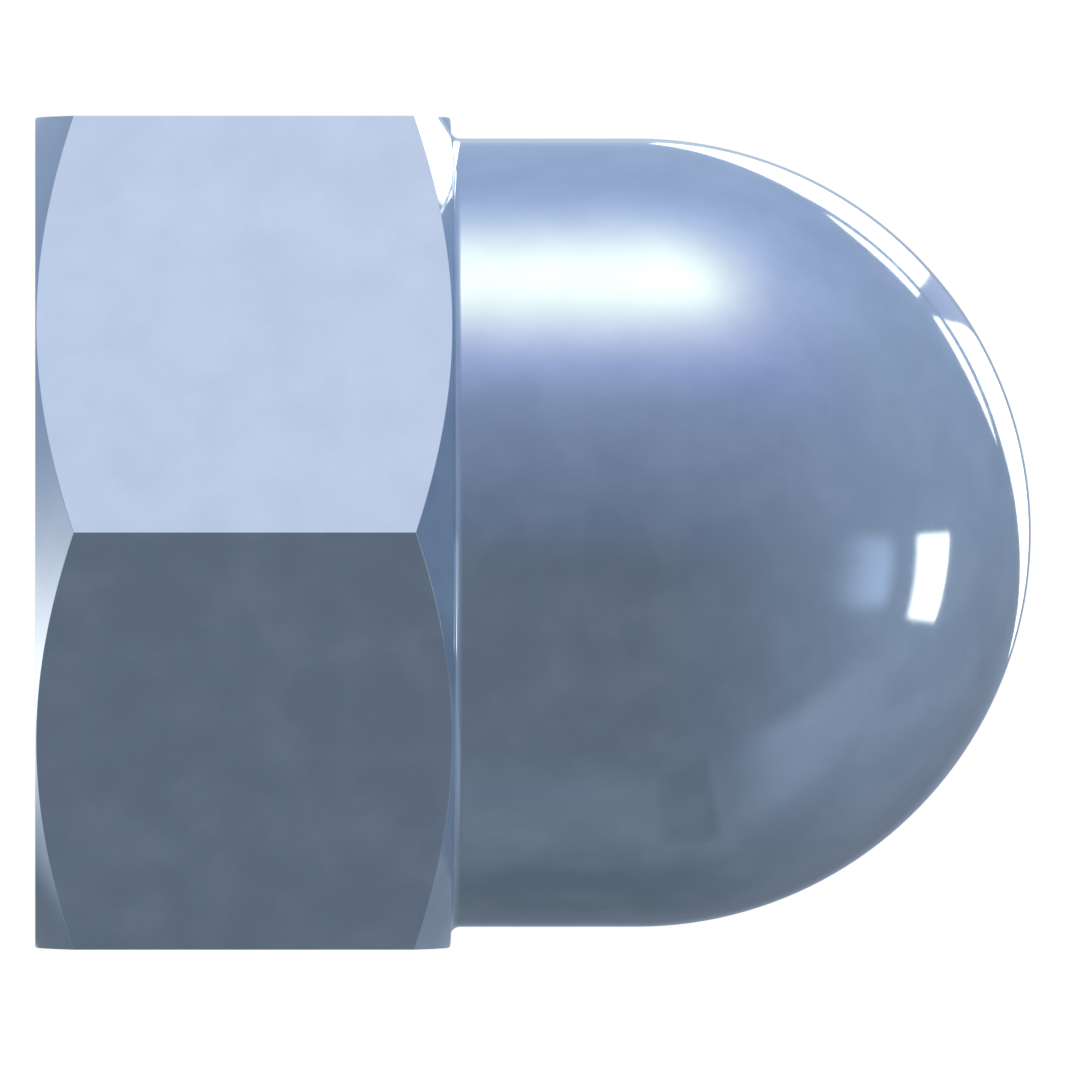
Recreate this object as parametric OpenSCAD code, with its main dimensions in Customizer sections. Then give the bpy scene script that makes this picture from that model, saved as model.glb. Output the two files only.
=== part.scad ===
// Hexagon domed cap nut, high form, turned and tapped from one length of hexagon bar.
//
// The origin is the centre of the bearing face. +Z runs along the thread axis, from the
// bearing face to the top of the dome. Two flats of the hexagon face -X and +X, and two
// of its corners point to -Y and +Y. All sizes are in millimetres and all angles in degrees.

/* [Overall] */
// Distance across two opposite flats
across_flats = 10; // [8:0.5:14]
// Height of the whole nut, from the bearing face to the top of the dome
overall_h = 12; // [10:0.5:16]

/* [Hexagon] */
// Height of the hexagon, from the bearing face to its top face
hex_h = 5; // [3:0.1:7]
// Angle between the corner chamfers and the end faces
chamfer_angle = 30; // [15:1:45]
// Gap between the flats and the circle where each chamfer starts
chamfer_inset = 0.02; // [0.01:0.01:0.1]

/* [Dome] */
// Step from the flats in to the side of the dome
dome_step = 0.25; // [0.25:0.05:1]
// Radius of the fillet between the side of the dome and the top face of the hexagon
root_fillet_r = 0.12; // [0.05:0.01:0.15]
// Metal left between the drill point and the top of the dome
crown_wall = 2; // [1:0.1:4]

/* [Thread] */
// Nominal diameter of the thread
thread_d = 6; // [4:0.5:7]
// Pitch of the thread
pitch = 1; // [0.5:0.05:1.5]
// Step from the nominal diameter out to the mouth of the countersink
countersink_lip = 0.25; // [0.1:0.05:0.5]
// Full angle of the countersink
countersink_angle = 120; // [60:5:150]
// Full angle of the drill point that the tapping drill leaves
drill_point_angle = 118; // [90:2:140]

/* [Hidden] */

// Segments of a round shape
$fn = 180;
// How far a cutting shape reaches past the surface that it cuts
cut = 1;

// Hexagon
flat_r = across_flats / 2;
corner_r = flat_r / cos(30);
chamfer_circle_r = flat_r - chamfer_inset;
chamfer_reach_r = corner_r + cut;
chamfer_reach_h = (chamfer_reach_r - chamfer_circle_r) * tan(chamfer_angle);

// Dome
dome_r = flat_r - dome_step;
dome_centre_z = overall_h - dome_r;

// Tapped hole, whose wall is cut by the tapping drill at the minor diameter of the thread
tap_drill_r = (thread_d - pitch) / 2;
drill_point_z = overall_h - crown_wall;
drill_shoulder_z = drill_point_z - tap_drill_r / tan(drill_point_angle / 2);
mouth_r = thread_d / 2 + countersink_lip;
countersink_h = (mouth_r - tap_drill_r) / tan(countersink_angle / 2);
mouth_reach_r = mouth_r + cut * tan(countersink_angle / 2);

// Half section of the hexagon's end faces and of the cones that chamfer its corners
module chamfer_section() {
    polygon([
        [0, 0],
        [chamfer_circle_r, 0],
        [chamfer_reach_r, chamfer_reach_h],
        [chamfer_reach_r, hex_h - chamfer_reach_h],
        [chamfer_circle_r, hex_h],
        [0, hex_h]
    ]);
}

// Half section of the dome: a straight side that runs into a quarter circle at the top
module dome_section() {
    square([dome_r, dome_centre_z]);
    translate([0, dome_centre_z])
        intersection() {
            circle(r = dome_r);
            square(dome_r);
        }
}

// Half section of the fillet that blends the side of the dome into the hexagon's top face
module root_fillet_section() {
    translate([dome_r, hex_h])
        difference() {
            square(root_fillet_r);
            translate([root_fillet_r, root_fillet_r])
                circle(r = root_fillet_r);
        }
}

// Everything that the lathe turns on the outside of the bar
module turned_form() {
    rotate_extrude() {
        chamfer_section();
        dome_section();
        root_fillet_section();
    }
}

// Hexagon bar, long enough to hold the whole nut
module hexagon_bar() {
    rotate([0, 0, 30])
        cylinder(r = corner_r, h = overall_h + cut, $fn = 6);
}

// Countersunk blind hole, drilled to the tapping size, with the drill's point at its end
module tapped_hole() {
    rotate_extrude()
        polygon([
            [0, -cut],
            [mouth_reach_r, -cut],
            [tap_drill_r, countersink_h],
            [tap_drill_r, drill_shoulder_z],
            [0, drill_point_z]
        ]);
}

module cap_nut() {
    color("#8ea1c2")
        difference() {
            intersection() {
                hexagon_bar();
                turned_form();
            }
            tapped_hole();
        }
}

cap_nut();
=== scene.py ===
import math

import bmesh
import bpy
from bpy.props import FloatProperty, FloatVectorProperty, PointerProperty
from mathutils import Matrix, Vector


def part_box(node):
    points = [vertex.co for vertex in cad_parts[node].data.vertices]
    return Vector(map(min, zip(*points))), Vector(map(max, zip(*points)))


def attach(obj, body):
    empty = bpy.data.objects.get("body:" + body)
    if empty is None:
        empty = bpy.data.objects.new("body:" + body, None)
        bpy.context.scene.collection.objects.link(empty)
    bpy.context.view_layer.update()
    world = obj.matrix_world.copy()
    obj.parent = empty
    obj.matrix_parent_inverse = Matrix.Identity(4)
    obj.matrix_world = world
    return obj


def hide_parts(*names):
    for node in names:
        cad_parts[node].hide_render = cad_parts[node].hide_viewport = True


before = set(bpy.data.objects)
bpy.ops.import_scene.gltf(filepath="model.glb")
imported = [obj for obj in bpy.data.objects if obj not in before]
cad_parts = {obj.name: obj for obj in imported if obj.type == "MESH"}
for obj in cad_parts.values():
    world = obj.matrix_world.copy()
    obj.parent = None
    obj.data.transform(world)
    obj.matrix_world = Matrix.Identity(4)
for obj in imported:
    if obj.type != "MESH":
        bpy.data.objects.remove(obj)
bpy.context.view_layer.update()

bl_info = {
    "name": "Domed cap nut",
    "version": (1, 0, 0),
    "blender": (4, 5, 0),
    "location": "View3D > Sidebar > Cap nut",
    "description": "Builds a hexagon domed cap nut in zinc-plated steel, with the studio that shows it",
    "category": "Add Mesh",
}

NODE = "cap_nut"
BODY = "root"
SLOT = "zinc_plated_steel"

MM = 0.001
NUT_LOW, NUT_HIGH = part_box(NODE)
NUT_SPAN = NUT_HIGH - NUT_LOW
# The middle of the standing nut, round which the studio is laid out
MIDDLE = Vector((0.0, 0.0, (NUT_LOW.z + NUT_HIGH.z) / 2))

CORNERS = 6
TURN = 2 * math.pi
OUT, DOWN, IN = (1.0, 0.0), (0.0, -1.0), (-1.0, 0.0)
# Distance within which two points of the mesh are one
WELD = 1e-4 * MM
# Half the angle between the two flanks of a metric thread
FLANK_ANGLE = math.radians(30)

# The noises run from 0 to 1 and seldom leave these stretches, over which each effect comes in
CLOUD_COOLEST, CLOUD_MIDDLE, CLOUD_PALEST = 0.36, 0.5, 0.64
MILK_STARTS, MILK_FULL = 0.45, 0.66
SPECKLE_GLOSSY, SPECKLE_DULL = 0.3, 0.7


def linear(hex_colour):
    """The linear red, green and blue of an sRGB colour written as #rrggbb."""
    channels = [int(hex_colour[i : i + 2], 16) / 255 for i in (1, 3, 5)]
    return tuple(c / 12.92 if c <= 0.04045 else ((c + 0.055) / 1.055) ** 2.4 for c in channels)


def rgba(colour):
    return (*colour, 1.0)


def length(name, description, default, **more):
    return FloatProperty(
        name=name, description=description, default=default, min=0.0, precision=5, unit="LENGTH", **more
    )


def angle(name, description, degrees):
    return FloatProperty(
        name=name, description=description, default=math.radians(degrees), min=0.0, subtype="ANGLE"
    )


def fraction(name, description, default):
    return FloatProperty(
        name=name, description=description, default=default, min=0.0, max=1.0, subtype="FACTOR"
    )


def tint(name, description, hex_colour):
    return FloatVectorProperty(
        name=name, description=description, default=linear(hex_colour), min=0.0, max=1.0, subtype="COLOR"
    )


# ---------------------------------------------------------------------------------------
# What a user can change


class CapNutSizes(bpy.types.PropertyGroup):
    """Sizes of the nut. The first two come from the packed model."""

    across_flats: length("Across flats", "Distance across two opposite flats", NUT_SPAN.x)
    height: length("Height", "From the bearing face to the top of the dome", NUT_SPAN.z)
    hexagon_height: length("Hexagon height", "From the bearing face to the hexagon's top", 5 * MM)
    chamfer_angle: angle("Chamfer angle", "Between the corner chamfers and the end faces", 30)
    chamfer_inset: length("Chamfer inset", "Gap between the flats and the chamfer's circle", 0.02 * MM)
    dome_step: length("Dome step", "Step from the flats in to the side of the dome", 0.25 * MM)
    root_fillet: length("Root fillet", "Radius between the dome's side and the hexagon", 0.12 * MM)
    crown_wall: length("Crown wall", "Metal between the drill point and the dome's top", 2 * MM)
    edge_round: length("Edge round", "Radius that tumbling and plating leave on the edges", 0.008 * MM)
    thread_diameter: length("Thread diameter", "Nominal diameter of the thread", 6 * MM)
    thread_pitch: length("Thread pitch", "Distance from one turn of the thread to the next", 1 * MM)
    thread_round: length("Thread round", "Half width of the rounding on the thread's edges", 0.03 * MM)
    tap_lead: length("Tap lead", "Length over which the tap's tapered end cut the last turns", 1.5 * MM)
    tap_clearance: length("Tap clearance", "Plain hole left beyond the last turn", 0.4 * MM)
    countersink_lip: length("Countersink lip", "Step from the thread out to the mouth", 0.25 * MM)
    countersink_angle: angle("Countersink angle", "Full angle of the countersink", 120)
    drill_angle: angle("Drill angle", "Full angle of the drill's point", 118)


class CapNutFinish(bpy.types.PropertyGroup):
    """Colours and texture of the plating."""

    zinc: tint("Zinc", "Colour of the blue-passivated zinc", "#cedae4")
    cloud_cool: tint("Cool cloud", "Colour where the passivation took a little less", "#cbd7e1")
    cloud_pale: tint("Pale cloud", "Colour where the passivation took a little more", "#d1dde7")
    cloud_milk: fraction("Cloud milk", "Share of the light that the palest clouds scatter", 0.027)
    cloud_size: length("Cloud size", "Width of the passivation's clouds", 0.8 * MM)
    speckle_size: length("Speckle size", "Width of the fine unevenness in the gloss", 0.12 * MM)
    grain_size: length("Grain size", "Width of the plating's soft ripples", 0.35 * MM)
    grain_height: length("Grain height", "Height of the plating's soft ripples", 0.00006 * MM)
    roughness: fraction("Roughness", "Roughness of the plating", 0.07)
    roughness_play: fraction("Roughness play", "How far the roughness strays either way", 0.015)


class CapNutStudio(bpy.types.PropertyGroup):
    """Camera, floor, lamp and the tent that the metal mirrors."""

    camera_distance: length("Camera distance", "From the nut's axis to the camera", 0.55)
    lens: FloatProperty(name="Lens", description="Focal length", default=1541.0, min=1.0, unit="CAMERA")
    aim_height: length("Aim height", "Height above the floor that the camera points at", 6 * MM)
    floor: tint("Floor", "Colour of the floor", "#f1f2f5")
    floor_size: length("Floor size", "Side of the square floor", 2.4)
    floor_clear: length("Floor clear", "Distance from the nut where the floor starts to fade", 30 * MM)
    floor_gone: length("Floor gone", "Distance from the nut where the floor is plain white", 75 * MM)
    fill_level: FloatProperty(name="Fill level", description="Even light on the floor", default=0.72)
    lamp_power: FloatProperty(
        name="Lamp power", description="Power of the soft lamp", default=2.4, unit="POWER"
    )
    lamp_size: length("Lamp size", "Side of the square soft lamp", 0.45)
    lamp_distance: length("Lamp distance", "From the nut to the soft lamp", 0.8)
    tent_radius: length("Tent radius", "Radius of the light tent", 1.5)
    # The tent's glowing spots are painted light in its emission
    glow_level: FloatProperty(
        name="Glow level", description="Brightness of the lit spots in the tent's cloth", default=1.0
    )


# ---------------------------------------------------------------------------------------
# The nut's mesh


def rounded_edge(corner, face_in, face_out, radius, steps):
    """Points that round a corner of the section between two faces, with the way each point faces.

    The section is walked with the metal on the left, so a face that points along (r, z) runs
    along (-z, r).
    """
    turn = math.acos(face_in[0] * face_out[0] + face_in[1] * face_out[1])
    reach = radius * math.tan(turn / 2)
    centre_r = corner[0] + face_in[1] * reach - face_in[0] * radius
    centre_z = corner[1] - face_in[0] * reach - face_in[1] * radius
    start = math.atan2(face_in[1], face_in[0])
    points = []
    for step in range(steps + 1):
        facing = start + turn * step / steps
        out_r, out_z = math.cos(facing), math.sin(facing)
        points.append((centre_r + radius * out_r, centre_z + radius * out_z, out_r, out_z))
    return points


def bar_outline(sizes):
    """(azimuth, radius, way it faces) round the hexagon bar, whose corners are slightly rounded."""
    arc_steps, flat_steps = 4, 38
    flat_r = sizes.across_flats / 2
    half_flat = math.pi / CORNERS
    arc_r = sizes.edge_round
    arc_centre = (flat_r - arc_r) / math.cos(half_flat)
    tangent = math.atan((flat_r - arc_r) * math.tan(half_flat) / flat_r)
    outline = []
    for flat in range(CORNERS):
        middle = TURN * flat / CORNERS
        for step in range(flat_steps + 1):
            azimuth = tangent * (2 * step / flat_steps - 1)
            outline.append((middle + azimuth, flat_r / math.cos(azimuth), middle))
        corner = middle + half_flat
        for step in range(1, arc_steps):
            facing = half_flat * (2 * step / arc_steps - 1)
            across, along = arc_r * math.sin(facing), arc_centre + arc_r * math.cos(facing)
            azimuth = corner + math.atan2(across, along)
            outline.append((azimuth, math.hypot(across, along), corner + facing))
    return outline


def hexagon_section(sizes, bar_r):
    """The section from the mouth of the hole out and up to the hexagon's top, at one azimuth.

    Each point is (r, z, facing r, facing z, share of the bar's own facing).
    """
    end_steps, side_steps = 2, 3
    chamfer_r = sizes.across_flats / 2 - sizes.chamfer_inset
    slope = sizes.chamfer_angle
    chamfer_h = (bar_r - chamfer_r) * math.tan(slope)
    cone = (math.sin(slope), -math.cos(slope))
    # The narrowest part of the chamfer has to hold both of its roundings, with a tenth to spare
    room = (bar_r - chamfer_r) / math.cos(slope)
    room /= math.tan(slope / 2) + math.tan((math.pi / 2 - slope) / 2)
    radius = min(sizes.edge_round, 0.9 * room)
    low = [(*p, 0.0) for p in rounded_edge((chamfer_r, 0.0), DOWN, cone, radius, end_steps)]
    side = rounded_edge((bar_r, chamfer_h), cone, OUT, radius, side_steps)
    low += [(*p, step / side_steps) for step, p in enumerate(side)]
    top = sizes.hexagon_height
    high = [(r, top - z, out_r, -out_z, share) for r, z, out_r, out_z, share in reversed(low)]
    return low + high


def dome_section(sizes):
    """The section from the hexagon's top through the fillet, up the dome's side and to its pole."""
    fillet_steps, side_steps, dome_steps = 6, 4, 45
    radius, fillet = sizes.across_flats / 2 - sizes.dome_step, sizes.root_fillet
    shoulder = sizes.height - radius
    points = []
    for step in range(fillet_steps + 1):
        facing = math.pi / 2 * (1 - step / fillet_steps)
        out_r, out_z = math.cos(facing), math.sin(facing)
        points.append(
            (radius + fillet * (1 - out_r), sizes.hexagon_height + fillet * (1 - out_z), out_r, out_z)
        )
    start = sizes.hexagon_height + fillet
    for step in range(1, side_steps + 1):
        points.append((radius, start + (shoulder - start) * step / side_steps, *OUT))
    for step in range(1, dome_steps):
        facing = math.pi / 2 * step / dome_steps
        out_r, out_z = math.cos(facing), math.sin(facing)
        points.append((radius * out_r, shoulder + radius * out_z, out_r, out_z))
    return [(*p, 0.0) for p in points]


class Hole:
    """The countersunk and tapped blind hole. Its faces point in to the axis."""

    def __init__(self, sizes):
        self.pitch = sizes.thread_pitch
        self.major_r = sizes.thread_diameter / 2
        self.drill_r = self.major_r - self.pitch / 2
        self.mouth_r = self.major_r + sizes.countersink_lip
        half_sink, half_drill = sizes.countersink_angle / 2, sizes.drill_angle / 2
        self.sink_slope = 1 / math.tan(half_sink)
        self.sink = (-math.cos(half_sink), -math.sin(half_sink))
        self.point_face = (-math.cos(half_drill), -math.sin(half_drill))
        self.point_z = sizes.height - sizes.crown_wall
        self.shoulder_z = self.point_z - self.drill_r / math.tan(half_drill)
        self.thread_end = self.shoulder_z - sizes.tap_clearance
        self.tap_lead = sizes.tap_lead
        self.round = sizes.thread_round
        self.lip = rounded_edge((self.mouth_r, 0.0), self.sink, DOWN, sizes.edge_round, 2)
        self.start_z = self.lip[0][1]
        self.rows = self.helix_rows()

    def one_turn(self):
        """The thread's 60 degree form over one pitch, as (height, r, facing r, facing z)."""
        # The form starts at the middle of the root, whose flat is an eighth of the pitch wide
        root = self.pitch / 16
        flank = (self.major_r - self.drill_r) * math.tan(FLANK_ANGLE)
        along, across = self.round * math.sin(FLANK_ANGLE), self.round * math.cos(FLANK_ANGLE)
        face = (-math.sin(FLANK_ANGLE), -math.cos(FLANK_ANGLE))
        half = [
            (root - self.round, self.major_r, *IN),
            (root + along, self.major_r - across, *face),
            (root + flank - along, self.drill_r + across, *face),
            (root + flank + self.round, self.drill_r, *IN),
        ]
        other = [(self.pitch - h, r, out_r, -out_z) for h, r, out_r, out_z in reversed(half)]
        return half + other

    def helix_rows(self):
        """The form repeated from a turn below the mouth to a turn above the hole's shoulder."""
        turns = math.ceil(self.shoulder_z / self.pitch) + 2
        form = self.one_turn()
        self.points_per_turn = 2 * len(form)
        return [
            ((turn - 1) * self.pitch + h - self.round * 2, r, out_r, out_z)
            for turn in range(turns)
            for h, r, out_r, out_z in form
        ]

    def thread_point(self, row, azimuth):
        """One point of the tapped hole as it was before it was countersunk."""
        height, r, out_r, out_z = row
        z = min(height + self.pitch * azimuth / TURN, self.shoulder_z)
        lead_r = self.drill_r + (self.thread_end - z) * (self.major_r - self.drill_r) / self.tap_lead
        if r > lead_r:
            r, out_r, out_z = lead_r, *IN
        if r < self.drill_r:
            r, out_r, out_z = self.drill_r, *IN
        return r, z, out_r, out_z

    def sink_r(self, z):
        """Radius of the countersink at a height."""
        return self.mouth_r - z / self.sink_slope

    def wall(self, azimuth):
        """The hole's wall at one azimuth, from its mouth inward, with two points for each row."""
        thread = [self.thread_point(row, azimuth) for row in self.rows]
        cuts = [self.sink_r(z) - r for r, z, _, _ in thread]
        pairs = []
        for point, cut in zip(thread, cuts):
            if cut > 0:
                z = max(point[1], self.start_z)
                point = (self.sink_r(z), z, *self.sink)
            pairs.append([point, point])
        for low in range(len(thread) - 1):
            if (cuts[low] > 0) == (cuts[low + 1] > 0):
                continue
            gone, kept = (low, low + 1) if cuts[low] > 0 else (low + 1, low)
            edge, inner = self.cut_edge(thread[gone], thread[kept], cuts[gone], cuts[kept])
            pairs[gone] = [edge, inner] if gone < kept else [inner, edge]
            # The next row waits on the edge too, so that it can take over with the same facing
            waiting = 2 * gone - kept
            if cuts[waiting] > 0 and cuts[2 * waiting - gone] > 0:
                pairs[waiting] = [edge, edge]
        return [point for pair in pairs for point in pair]

    def cut_edge(self, gone, kept, gone_cut, kept_cut):
        """The edge where the countersink meets the thread, and a point of the thread just beside it."""
        share = gone_cut / (gone_cut - kept_cut)
        beside = min(share + self.round / math.dist(gone[:2], kept[:2]), 1.0)
        edge, inner = ([g + (k - g) * part for g, k in zip(gone, kept)] for part in (share, beside))
        return [(*edge[:2], *self.sink), tuple(inner)]


class Skin:
    """A mesh in the making, whose points each carry the way that the true surface faces."""

    def __init__(self):
        self.mesh = bmesh.new()
        self.facing = self.mesh.verts.layers.float_vector.new("facing")

    def point(self, azimuth, r, z, way, out_z):
        """Adds a point at a radius and height. way is its horizontal facing."""
        vert = self.mesh.verts.new((r * math.cos(azimuth), r * math.sin(azimuth), z))
        vert[self.facing] = Vector((way.x, way.y, out_z)).normalized()
        return vert

    def face(self, corners):
        distinct = list(dict.fromkeys(corners))
        if len(distinct) > 2:
            self.mesh.faces.new(distinct)

    def band(self, left, right):
        """Faces between two columns of points."""
        for low in range(min(len(left), len(right)) - 1):
            self.face((left[low], right[low], right[low + 1], left[low + 1]))

    def finish(self, name):
        """Welds the points that coincide and returns the closed mesh with its facings as normals."""
        bmesh.ops.remove_doubles(self.mesh, verts=self.mesh.verts, dist=WELD)
        open_edges = [edge for edge in self.mesh.edges if len(edge.link_faces) != 2]
        if open_edges:
            raise RuntimeError(f"{name} is not closed: {len(open_edges)} edges don't join two faces")
        self.mesh.verts.index_update()
        normals = [vert[self.facing].copy() for vert in self.mesh.verts]
        self.mesh.verts.layers.float_vector.remove(self.facing)
        made = bpy.data.meshes.new(name)
        self.mesh.to_mesh(made)
        self.mesh.free()
        made.shade_smooth()
        made.normals_split_custom_set_from_vertices(normals)
        return made


def horizontal(azimuth):
    return Vector((math.cos(azimuth), math.sin(azimuth)))


def nut_mesh(sizes, name):
    """The whole nut as one closed skin, made of columns that run from the drill point to the pole."""
    skin, hole = Skin(), Hole(sizes)
    outline = bar_outline(sizes)
    dome = dome_section(sizes)
    outside, bore = [], []
    for azimuth, bar_r, bar_way in outline:
        radial, bar_face = horizontal(azimuth), horizontal(bar_way)
        section = [(*p, 0.0) for p in hole.lip] + hexagon_section(sizes, bar_r) + dome
        column = []
        for r, z, out_r, out_z, share in section:
            way = radial.lerp(bar_face, share).normalized() * out_r
            column.append(skin.point(azimuth, r, z, way, out_z))
        outside.append(column)
        wall = hole.wall(azimuth)
        bore.append([skin.point(azimuth, r, z, radial * out_r, out_z) for r, z, out_r, out_z in wall])
    pole = skin.point(0.0, 0.0, sizes.height, Vector((0.0, 0.0)), 1.0)
    drill_point = skin.point(0.0, 0.0, hole.point_z, Vector((0.0, 0.0)), -1.0)
    last = len(outline) - 1
    for index in range(last + 1):
        following = 0 if index == last else index + 1
        skin.band(outside[index], outside[following])
        skin.face((outside[index][-1], outside[following][-1], pole))
        # The helix climbs by one turn on its way round, so its last column joins the first higher up
        climb = hole.points_per_turn if index == last else 0
        skin.band(bore[following][climb:], bore[index])
        skin.face((bore[following][-1], bore[index][-1], drill_point))
    return skin.finish(name)


# ---------------------------------------------------------------------------------------
# Materials


def add_node(tree, kind, inputs=None, stops=None, **settings):
    """Adds a node. inputs maps sockets to values or to the sockets that feed them."""
    node = tree.nodes.new(kind)
    for setting, value in settings.items():
        setattr(node, setting, value)
    for socket, value in (inputs or {}).items():
        if isinstance(value, bpy.types.NodeSocket):
            tree.links.new(value, node.inputs[socket])
        else:
            node.inputs[socket].default_value = value
    if stops:
        elements = node.color_ramp.elements
        while len(elements) < len(stops):
            elements.new(1.0)
        for element, (position, colour) in zip(elements, stops):
            element.position, element.color = position, rgba(colour)
    return node


def empty_material(name):
    material = bpy.data.materials.new(name)
    material.use_nodes = True
    material.node_tree.nodes.clear()
    return material, material.node_tree


def waves_per_metre(size):
    """The Scale of a noise whose features are about this size."""
    return 1 / size


def zinc_plated_steel(finish):
    """Bright zinc electroplate on turned steel, passivated blue.

    The eye gets a cool silver with a clean mirror in it, faint clouds about a millimetre wide where
    the passivation took more or less, a trace of milkiness in the paler clouds, and a gloss that is
    very slightly uneven.
    """
    material, tree = empty_material(SLOT)
    place = add_node(tree, "ShaderNodeTexCoord").outputs["Object"]
    clouds = add_node(
        tree,
        "ShaderNodeTexNoise",
        {"Vector": place, "Scale": waves_per_metre(finish.cloud_size), "Detail": 5.0, "Roughness": 0.55},
    )
    colour = add_node(
        tree,
        "ShaderNodeValToRGB",
        {"Fac": clouds.outputs["Fac"]},
        stops=[
            (CLOUD_COOLEST, finish.cloud_cool),
            (CLOUD_MIDDLE, finish.zinc),
            (CLOUD_PALEST, finish.cloud_pale),
        ],
    )
    mirror = add_node(
        tree,
        "ShaderNodeMapRange",
        {
            "Value": clouds.outputs["Fac"],
            "From Min": MILK_STARTS,
            "From Max": MILK_FULL,
            "To Min": 1.0,
            "To Max": 1.0 - finish.cloud_milk,
        },
    )
    speckle = add_node(
        tree,
        "ShaderNodeTexNoise",
        {"Vector": place, "Scale": waves_per_metre(finish.speckle_size), "Detail": 2.0},
    )
    gloss = add_node(
        tree,
        "ShaderNodeMapRange",
        {
            "Value": speckle.outputs["Fac"],
            "From Min": SPECKLE_GLOSSY,
            "From Max": SPECKLE_DULL,
            "To Min": finish.roughness - finish.roughness_play,
            "To Max": finish.roughness + finish.roughness_play,
        },
    )
    ripples = add_node(
        tree,
        "ShaderNodeTexNoise",
        {"Vector": place, "Scale": waves_per_metre(finish.grain_size), "Detail": 1.0},
    )
    relief = add_node(
        tree,
        "ShaderNodeBump",
        {"Height": ripples.outputs["Fac"], "Distance": finish.grain_height, "Strength": 1.0},
    )
    metal = add_node(
        tree,
        "ShaderNodeBsdfPrincipled",
        {
            "Base Color": colour.outputs["Color"],
            "Metallic": mirror.outputs["Result"],
            "Roughness": gloss.outputs["Result"],
            "Normal": relief.outputs["Normal"],
        },
    )
    add_node(tree, "ShaderNodeOutputMaterial", {"Surface": metal.outputs["BSDF"]})
    return material


def seen_directly(tree):
    """1 for the rays that meet the background by sight, by reflection or through glass."""
    path = add_node(tree, "ShaderNodeLightPath")
    seen = path.outputs["Is Camera Ray"]
    for kind in ("Is Glossy Ray", "Is Transmission Ray"):
        seen = add_node(
            tree, "ShaderNodeMath", {0: seen, 1: path.outputs[kind]}, operation="MAXIMUM"
        ).outputs["Value"]
    return seen


def floor_paper(studio):
    """Pale matt backdrop paper, which fades to plain white away from the nut and keeps its shadow."""
    material, tree = empty_material("floor_paper")
    paper = add_node(tree, "ShaderNodeBsdfDiffuse", {"Color": rgba(studio.floor)})
    white = add_node(tree, "ShaderNodeEmission")
    place = add_node(tree, "ShaderNodeNewGeometry").outputs["Position"]
    distance = add_node(tree, "ShaderNodeVectorMath", {0: place}, operation="LENGTH").outputs["Value"]
    fade = add_node(
        tree,
        "ShaderNodeMapRange",
        {"Value": distance, "From Min": studio.floor_clear, "From Max": studio.floor_gone},
        interpolation_type="SMOOTHERSTEP",
    ).outputs["Result"]
    share = add_node(tree, "ShaderNodeMath", {0: fade, 1: seen_directly(tree)}, operation="MULTIPLY")
    mix = add_node(
        tree,
        "ShaderNodeMixShader",
        {0: share.outputs["Value"], 1: paper.outputs["BSDF"], 2: white.outputs["Emission"]},
    )
    add_node(tree, "ShaderNodeOutputMaterial", {"Surface": mix.outputs["Shader"]})
    return material


def spot(tree, way, middle, width):
    """1 in one direction from the nut, fading away from it over about this many degrees."""
    near = add_node(
        tree, "ShaderNodeVectorMath", {0: way, 1: toward(*middle)}, operation="DOT_PRODUCT"
    ).outputs["Value"]
    apart = add_node(tree, "ShaderNodeMath", {0: near, 1: 1.0}, operation="SUBTRACT").outputs["Value"]
    spread = add_node(
        tree, "ShaderNodeMath", {0: apart, 1: math.radians(width) ** 2}, operation="DIVIDE"
    ).outputs["Value"]
    return add_node(tree, "ShaderNodeMath", {0: spread}, operation="EXPONENT").outputs["Value"]


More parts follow.
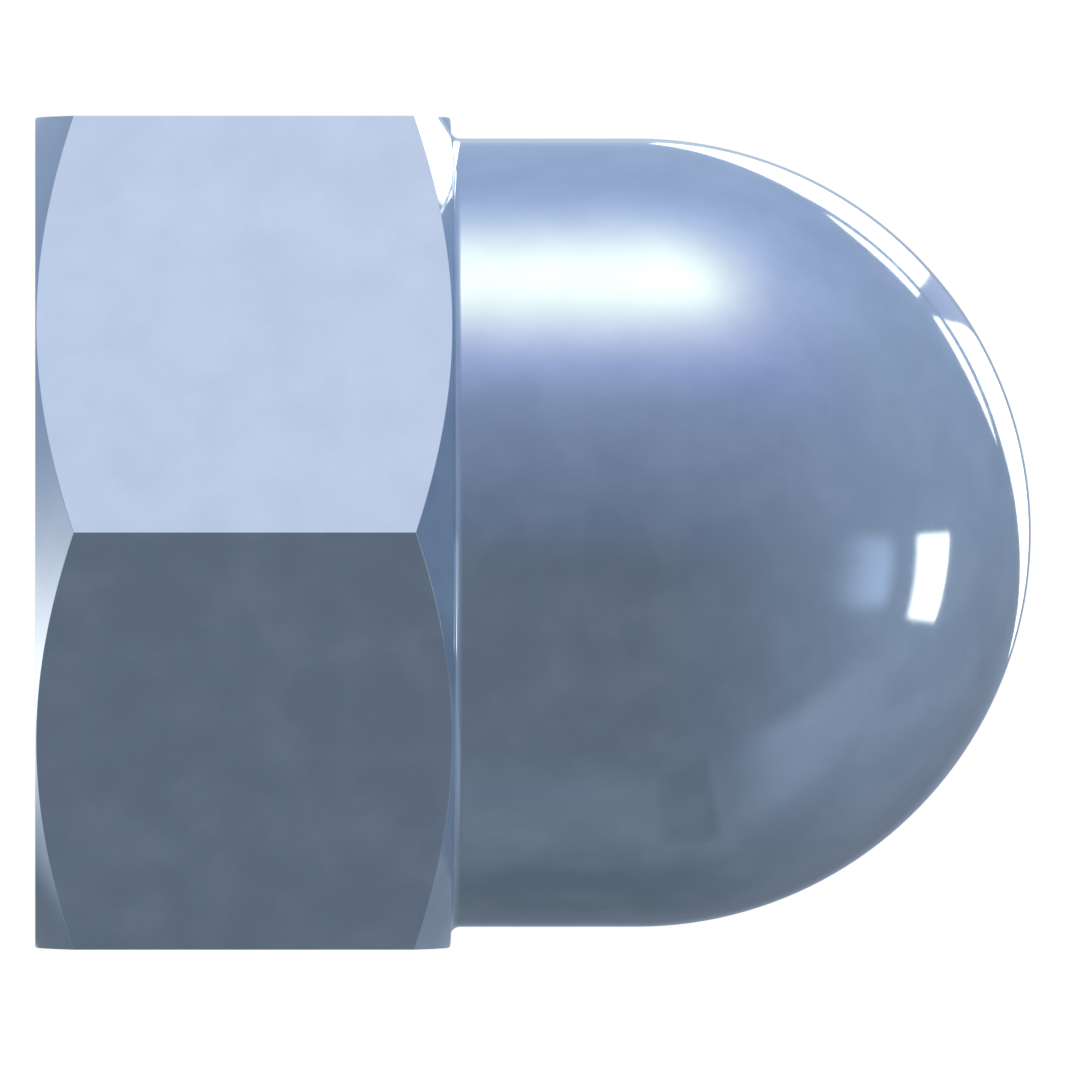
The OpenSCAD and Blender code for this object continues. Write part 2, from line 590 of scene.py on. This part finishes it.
def tent_painted_light(studio):
    """The tent's glow, with its light and shade painted into its emission; no lamp lights it.

    Its wall is painted dim on the side away from the lamp and bright on the lamp's side, and it turns to
    a cool grey overhead and underfoot. Painted shade darkens patches of it, and painted light makes
    spots of it glow.
    """
    material, tree = empty_material("tent_painted_light")
    place = add_node(tree, "ShaderNodeTexCoord").outputs["Object"]
    way = add_node(tree, "ShaderNodeVectorMath", {0: place}, operation="NORMALIZE").outputs["Vector"]
    turned = add_node(
        tree, "ShaderNodeVectorRotate", {"Vector": way, "Angle": TURN / 4}, rotation_type="Z_AXIS"
    )
    round_about = add_node(
        tree, "ShaderNodeTexGradient", {"Vector": turned.outputs["Vector"]}, gradient_type="RADIAL"
    )
    # The wall's colour round the tent is painted light and shade, not light from the lamp
    wall = add_node(
        tree, "ShaderNodeValToRGB", {"Fac": round_about.outputs["Fac"]}, stops=painted_wall_stops()
    ).outputs["Color"]
    brightness = add_node(tree, "ShaderNodeRGBToBW", {"Color": wall}).outputs["Val"]
    ceiling_power = add_node(
        tree,
        "ShaderNodeMapRange",
        {
            "Value": brightness,
            "From Min": DARK_WALL,
            "From Max": BRIGHT_WALL,
            "To Min": CEILING_POWER_OVER_DARK,
            "To Max": CEILING_POWER_OVER_BRIGHT,
        },
    ).outputs["Result"]
    rise = add_node(tree, "ShaderNodeSeparateXYZ", {"Vector": way}).outputs["Z"]
    colour = wall
    # The painted ceiling and underfoot greys take over toward the top and the bottom
    for sign, shade, power in ((1.0, CEILING, ceiling_power), (-1.0, UNDERFOOT, UNDERFOOT_POWER)):
        height = add_node(
            tree, "ShaderNodeMath", {0: rise, 1: sign}, operation="MULTIPLY", use_clamp=True
        ).outputs["Value"]
        share = add_node(
            tree, "ShaderNodeMath", {0: height, 1: power}, operation="POWER"
        ).outputs["Value"]
        colour = add_node(
            tree, "ShaderNodeMix", {"Factor": share, 6: colour, 7: rgba(linear(shade))}, data_type="RGBA"
        ).outputs[2]
    # Painted shade: each patch takes a share of the tent's glow away
    for middle, width, depth in PAINTED_SHADE_PATCHES:
        left = add_node(
            tree,
            "ShaderNodeMath",
            {0: spot(tree, way, middle, width), 1: -depth, 2: 1.0},
            operation="MULTIPLY_ADD",
        ).outputs["Value"]
        colour = add_node(
            tree, "ShaderNodeVectorMath", {0: colour, "Scale": left}, operation="SCALE"
        ).outputs["Vector"]
    surface = add_node(tree, "ShaderNodeEmission", {"Color": colour}).outputs["Emission"]
    # Painted light: each spot adds its own glow to the tent
    for middle, width, level, shade in PAINTED_GLOWS:
        light = add_node(
            tree,
            "ShaderNodeMath",
            {0: spot(tree, way, middle, width), 1: level * studio.glow_level},
            operation="MULTIPLY",
        ).outputs["Value"]
        glow = add_node(tree, "ShaderNodeEmission", {"Color": rgba(linear(shade)), "Strength": light})
        surface = add_node(
            tree, "ShaderNodeAddShader", {0: surface, 1: glow.outputs["Emission"]}
        ).outputs["Shader"]
    add_node(tree, "ShaderNodeOutputMaterial", {"Surface": surface})
    return material


def glowing_panel(name, colour, level, fades):
    """A panel that glows with its own emission. fades holds the shares that fade out at its left, right,
    lower and upper side.
    """
    material, tree = empty_material(name)
    surface = add_node(
        tree, "ShaderNodeEmission", {"Color": rgba(colour), "Strength": level}
    ).outputs["Emission"]
    across = add_node(tree, "ShaderNodeUVMap", uv_map="panel").outputs["UV"]
    place = add_node(tree, "ShaderNodeSeparateXYZ", {"Vector": across})
    sides = (("X", 0, 1), ("X", 1, -1), ("Y", 0, 1), ("Y", 1, -1))
    for (axis, edge, inward), fade in zip(sides, fades):
        if not fade:
            continue
        share = add_node(
            tree,
            "ShaderNodeMapRange",
            {"Value": place.outputs[axis], "From Min": edge, "From Max": edge + inward * fade},
            interpolation_type="SMOOTHERSTEP",
        ).outputs["Result"]
        clear = add_node(tree, "ShaderNodeBsdfTransparent").outputs["BSDF"]
        surface = add_node(
            tree, "ShaderNodeMixShader", {0: share, 1: clear, 2: surface}
        ).outputs["Shader"]
    add_node(tree, "ShaderNodeOutputMaterial", {"Surface": surface})
    return material


# ---------------------------------------------------------------------------------------
# The studio. A direction is (azimuth, elevation) in degrees, seen from the nut: azimuth 0 is
# toward the camera, and it grows toward the lamp's side, which is -X.

LAMP_WAY = (70.0, 48.0)
# The camera's sensor in millimetres, and the nearest and furthest that it sees in metres
SENSOR_WIDTH = 36.0
NEAREST, FURTHEST = 0.01, 10.0

# Segments round the tent
TENT_SEGMENTS = 64
# The panels' distance from the nut, as a share of the tent's radius
PANEL_REACH = 0.8
# Points on each bent side of a panel
BEND_STEPS = 8

# The tent's painted light straight overhead and straight down
CEILING, UNDERFOOT = "#9ba9c0", "#93a2bd"
# The wall turns to those colours with a power of the rise, and the higher the power, the later it
# does. The painted ceiling grey reaches far down where the wall's painted brightness is that of the dark
# side, and hardly down where it is that of the bright side.
DARK_WALL, BRIGHT_WALL = 0.2, 0.5
CEILING_POWER_OVER_DARK, CEILING_POWER_OVER_BRIGHT = 1.6, 2.6
UNDERFOOT_POWER = 0.8
# Azimuth and painted colour round the tent's wall, which stands for its light and shade: bright on the
# lamp's side, dim away from it
PAINTED_WALL_LIGHT = (
    (-180.0, "#94a5bd"),
    (-172.0, "#8793a6"),
    (-163.0, "#717a88"),
    (-140.0, "#69737e"),
    (-120.0, "#6b7480"),
    (-100.0, "#7d8694"),
    (-80.0, "#7b8593"),
    (-68.0, "#757d8b"),
    (-10.0, "#757d8b"),
    (0.0, "#798399"),
    (10.0, "#7e889f"),
    (20.0, "#8993ac"),
    (40.0, "#94a2bb"),
    (50.0, "#9aa9d0"),
    (62.0, "#a3b0d6"),
    (85.0, "#a2b0ce"),
    (105.0, "#abbfdb"),
    (135.0, "#afbfdf"),
    (150.0, "#aec1df"),
    (160.0, "#a9bbdb"),
    (180.0, "#94a5bd"),
)
# Spots of painted light that glow in the tent: middle, width in degrees, brightness, colour
PAINTED_GLOWS = (
    ((80.4, 3.4), 14.3, 1.15, "#fbf58c"),
    ((81.7, 6.3), 21.3, 0.45, "#8278fa"),
    ((80.5, 13.4), 6.0, 0.27, "#edf9bf"),
    ((-145.0, 34.0), 20.0, 0.03, "#efebff"),
    ((92.0, 46.0), 11.0, 0.055, "#f0f9fd"),
    ((-153.5, -55.8), 8.3, 1.6, "#fff6e7"),
    ((-162.0, -36.0), 5.0, 0.06, "#fff480"),
    ((168.5, 0.0), 6.0, 0.25, "#f1faeb"),
)
# Patches of painted shade on the tent: middle, width in degrees, share of the glow taken away
PAINTED_SHADE_PATCHES = (
    ((-42.0, 42.0), 22.0, 0.12),
    ((170.0, 42.0), 14.0, 0.1),
    ((52.0, 40.0), 14.0, 0.1),
)
# Corners of the glowing panels. A corner may be followed by one more direction, through which the side
# that leads on from it bends. The window is round, with slats beside it and a bar across it.
RIGHT_PANE = (
    (184.5, 15.5, 181.8, 27.3),
    (173.9, 34.2, 166.1, 35.1),
    (156.5, 30.4, 163.4, 24.2),
    (172.9, 12.7, 179.1, 13.7),
    (184.0, 12.3),
)
LEFT_PANE = (
    (170.1, 11.7, 167.2, 6.9),
    (163.8, 1.6),
    (161.5, 1.4, 151.9, 7.5),
    (146.9, 15.6, 149.1, 22.4),
    (153.4, 27.9),
)
RIGHT_SLAT = ((168.8, 39.6, 157.8, 40.1), (150.4, 34.6), (153.8, 32.3, 159.8, 36.2))
LEFT_SLAT = ((151.2, 30.2), (147.7, 32.9, 142.4, 26.2), (144.0, 19.7, 146.7, 24.3))
# The bar across the window glows with painted light, though it is no lamp
WINDOW_BAR_PAINTED_GLOW = (RIGHT_PANE[2], RIGHT_PANE[3][:2], LEFT_PANE[0][:2], LEFT_PANE[4])
SOFTBOX = ((-85.7, 71.2), (-127.8, 68), (175.8, 75.9), (12.1, 87.1))
# Two panels of painted bounce light, overhead and at the side, which glow though they are no lamps
PAINTED_BOUNCE_ABOVE = ((-36.2, 49.7), (-77.5, 70.9), (20, 83.1), (4, 54.4))
PAINTED_BOUNCE_SIDE = ((-65, 17), (-110, 16), (-116, 66), (-56, 64))
# Two dim grey glowing panels of painted shade: a gap beside the side panel, and a low screen
PAINTED_SHADE_SIDE = ((-74.7, 2.9), (-105.8, 3.5), (-110, 15.6), (-68.6, 17))
PAINTED_SHADE_LOW = ((-150, -36), (-177, -36), (-177, -3), (-150, -3))
CRISP = (0.0, 0.0, 0.0, 0.0)
# Name, corners, colour, brightness, and the shares that fade at the left, right, lower and upper side
PANELS = (
    ("window_right", RIGHT_PANE, "#ffffff", 2.2, CRISP),
    ("window_left", LEFT_PANE, "#ffffff", 2.2, CRISP),
    ("window_slat_right", RIGHT_SLAT, "#ffffff", 2.2, CRISP),
    ("window_slat_left", LEFT_SLAT, "#ffffff", 2.2, CRISP),
    ("window_bar_painted_glow", WINDOW_BAR_PAINTED_GLOW, "#b8c5e6", 1.0, CRISP),
    ("overhead_softbox", SOFTBOX, "#ffffff", 2.3, (0.3, 0.06, 0.14, 0.12)),
    ("overhead_painted_bounce", PAINTED_BOUNCE_ABOVE, "#bccdea", 1.0, (0.85, 0.3, 0.35, 0.28)),
    ("side_painted_bounce", PAINTED_BOUNCE_SIDE, "#99a5b9", 1.0, (0.45, 0.4, 0.4, 0.25)),
    ("side_painted_shade", PAINTED_SHADE_SIDE, "#747d8a", 1.0, (0.15, 0.15, 0.2, 0.15)),
    ("low_painted_shade", PAINTED_SHADE_LOW, "#707a87", 1.0, (0.15, 0.2, 0.36, 0.05)),
)


def toward(azimuth, elevation):
    """The unit vector from the nut in a studio direction."""
    side, rise = math.radians(azimuth), math.radians(elevation)
    return Vector((-math.sin(side) * math.cos(rise), -math.cos(side) * math.cos(rise), math.sin(rise)))


def bend(start, middle, end):
    """Directions along a smooth curve through these three, from the first to just before the last."""
    points = []
    for step in range(BEND_STEPS):
        share = step / BEND_STEPS
        first, second = (1 - share) * (1 - 2 * share), 4 * share * (1 - share)
        third = share * (2 * share - 1)
        points.append([first * a + second * b + third * c for a, b, c in zip(start, middle, end)])
    return points


def panel_outline(corners):
    """The directions round a panel: its corners, and the points of its bent sides."""
    points = []
    for corner, following in zip(corners, (*corners[1:], corners[0])):
        way, middle = corner[:2], corner[2:]
        points += bend(way, middle, following[:2]) if middle else [way]
    return points


def painted_wall_stops():
    """The wall's painted light and shade as stops, in the order in which the tent's texture meets them.
    """
    return sorted(((180.0 - azimuth) / 360.0, linear(colour)) for azimuth, colour in PAINTED_WALL_LIGHT)


def show_only_in_metal(panel):
    """Keeps a glowing surface, with its painted light, for mirror images alone, so that the floor's
    light stays even.
    """
    panel.visible_camera = False
    panel.visible_diffuse = False
    panel.visible_transmission = False
    panel.visible_volume_scatter = False
    panel.visible_shadow = False
    for slot in panel.material_slots:
        slot.material.cycles.emission_sampling = "NONE"


def add_object(name, mesh, material=None):
    made = bpy.data.objects.new(name, mesh)
    bpy.context.scene.collection.objects.link(made)
    if material:
        mesh.materials.append(material)
    return made


def add_camera(studio):
    """A long lens at floor level, turned so that the nut's axis lies across the picture."""
    lens = bpy.data.cameras.new("camera")
    lens.lens = studio.lens
    lens.sensor_width = SENSOR_WIDTH
    lens.clip_start, lens.clip_end = NEAREST, FURTHEST
    camera = bpy.data.objects.new("camera", lens)
    bpy.context.scene.collection.objects.link(camera)
    place, aim = Vector((0.0, -studio.camera_distance, 0.0)), Vector((0.0, 0.0, studio.aim_height))
    back = (place - aim).normalized()
    up = Vector((-1.0, 0.0, 0.0))
    right = up.cross(back)
    camera.matrix_world = Matrix.Translation(place) @ Matrix((right, up, back)).transposed().to_4x4()
    bpy.context.scene.camera = camera


def add_world(studio):
    """Even light for the floor, and white wherever the background itself is seen."""
    world = bpy.data.worlds.new("studio_white")
    world.use_nodes = True
    tree = world.node_tree
    tree.nodes.clear()
    level = add_node(
        tree,
        "ShaderNodeMapRange",
        {"Value": seen_directly(tree), "To Min": studio.fill_level, "To Max": 1.0},
    ).outputs["Result"]
    light = add_node(tree, "ShaderNodeBackground", {"Color": rgba((1.0, 1.0, 1.0)), "Strength": level})
    add_node(tree, "ShaderNodeOutputWorld", {"Surface": light.outputs["Background"]})
    world.cycles.sampling_method = "NONE"
    bpy.context.scene.world = world


def add_floor(studio):
    mesh = bpy.data.meshes.new("floor")
    half = studio.floor_size / 2
    corners = [(-half, -half, 0.0), (half, -half, 0.0), (half, half, 0.0), (-half, half, 0.0)]
    mesh.from_pydata(corners, [], [(0, 1, 2, 3)])
    floor = add_object("floor", mesh, floor_paper(studio))
    floor.location.z = NUT_LOW.z
    # The metal mirrors the tent's lower half instead, which meets the upper half without a line
    floor.visible_glossy = False


def add_lamp(studio):
    """A square softbox above the lamp's side, which gives the floor a soft shadow."""
    light = bpy.data.lights.new("soft_lamp", "AREA")
    light.shape, light.size = "SQUARE", studio.lamp_size
    light.energy = studio.lamp_power
    lamp = bpy.data.objects.new("soft_lamp", light)
    bpy.context.scene.collection.objects.link(lamp)
    way = toward(*LAMP_WAY)
    lamp.location = MIDDLE + way * studio.lamp_distance
    lamp.rotation_mode = "QUATERNION"
    lamp.rotation_quaternion = way.to_track_quat("Z", "Y")
    lamp.visible_glossy = False


def add_tent(studio):
    shape = bmesh.new()
    bmesh.ops.create_uvsphere(
        shape, u_segments=TENT_SEGMENTS, v_segments=TENT_SEGMENTS // 2, radius=studio.tent_radius
    )
    mesh = bpy.data.meshes.new("tent")
    shape.to_mesh(mesh)
    shape.free()
    tent = add_object("tent", mesh, tent_painted_light(studio))
    tent.location = MIDDLE
    show_only_in_metal(tent)


def add_panel(studio, name, corners, colour, level, fades):
    """A panel a little inside the tent, with its corners in these directions from the nut."""
    shape = bmesh.new()
    reach = studio.tent_radius * PANEL_REACH
    face = shape.faces.new([shape.verts.new(toward(*way) * reach) for way in panel_outline(corners)])
    # The panels that fade have four straight sides
    layer = shape.loops.layers.uv.new("panel")
    for loop, place in zip(face.loops, ((0, 0), (1, 0), (1, 1), (0, 1))):
        loop[layer].uv = place
    mesh = bpy.data.meshes.new(name)
    shape.to_mesh(mesh)
    shape.free()
    panel = add_object(name, mesh, glowing_panel(name, linear(colour), level, fades))
    panel.location = MIDDLE
    show_only_in_metal(panel)


# ---------------------------------------------------------------------------------------
# Operators and panel


class CAPNUT_OT_set_up_studio(bpy.types.Operator):
    """Add the camera, the pale floor, the soft lamp and the light tent"""

    bl_idname = "cap_nut.set_up_studio"
    bl_label = "Set up studio"

    def execute(self, context):
        studio = context.scene.cap_nut_studio
        add_camera(studio)
        add_world(studio)
        add_floor(studio)
        add_lamp(studio)
        add_tent(studio)
        for panel in PANELS:
            add_panel(studio, *panel)
        context.scene.view_settings.view_transform = "Standard"
        return {"FINISHED"}


class CAPNUT_OT_add_nut(bpy.types.Operator):
    """Add the domed cap nut, one piece of zinc-plated steel, in place of the plain CAD node"""

    bl_idname = "cap_nut.add_nut"
    bl_label = "Add domed cap nut"

    def execute(self, context):
        scene = context.scene
        mesh = nut_mesh(scene.cap_nut_sizes, "domed_cap_nut")
        nut = add_object("domed_cap_nut", mesh, zinc_plated_steel(scene.cap_nut_finish))
        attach(nut, BODY)
        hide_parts(NODE)
        return {"FINISHED"}


class CAPNUT_PT_sidebar(bpy.types.Panel):
    """Sizes, finish and studio of the cap nut"""

    bl_idname = "CAPNUT_PT_sidebar"
    bl_label = "Domed cap nut"
    bl_space_type = "VIEW_3D"
    bl_region_type = "UI"
    bl_category = "Cap nut"

    def draw(self, context):
        layout = self.layout
        for operator in OPERATORS:
            layout.operator(operator.bl_idname)
        for group in GROUPS:
            box = layout.box()
            box.label(text=GROUPS[group].__doc__.split(".")[0])
            for name in GROUPS[group].__annotations__:
                box.prop(getattr(context.scene, group), name)


GROUPS = {
    "cap_nut_sizes": CapNutSizes,
    "cap_nut_finish": CapNutFinish,
    "cap_nut_studio": CapNutStudio,
}
OPERATORS = (CAPNUT_OT_set_up_studio, CAPNUT_OT_add_nut)
CLASSES = (*GROUPS.values(), *OPERATORS, CAPNUT_PT_sidebar)


def register():
    for cls in CLASSES:
        bpy.utils.register_class(cls)
    for name, group in GROUPS.items():
        setattr(bpy.types.Scene, name, PointerProperty(type=group))


def unregister():
    for name in GROUPS:
        delattr(bpy.types.Scene, name)
    for cls in reversed(CLASSES):
        bpy.utils.unregister_class(cls)


def main():
    register()
    bpy.ops.cap_nut.set_up_studio()
    bpy.ops.cap_nut.add_nut()


if __name__ == "__main__":
    main()
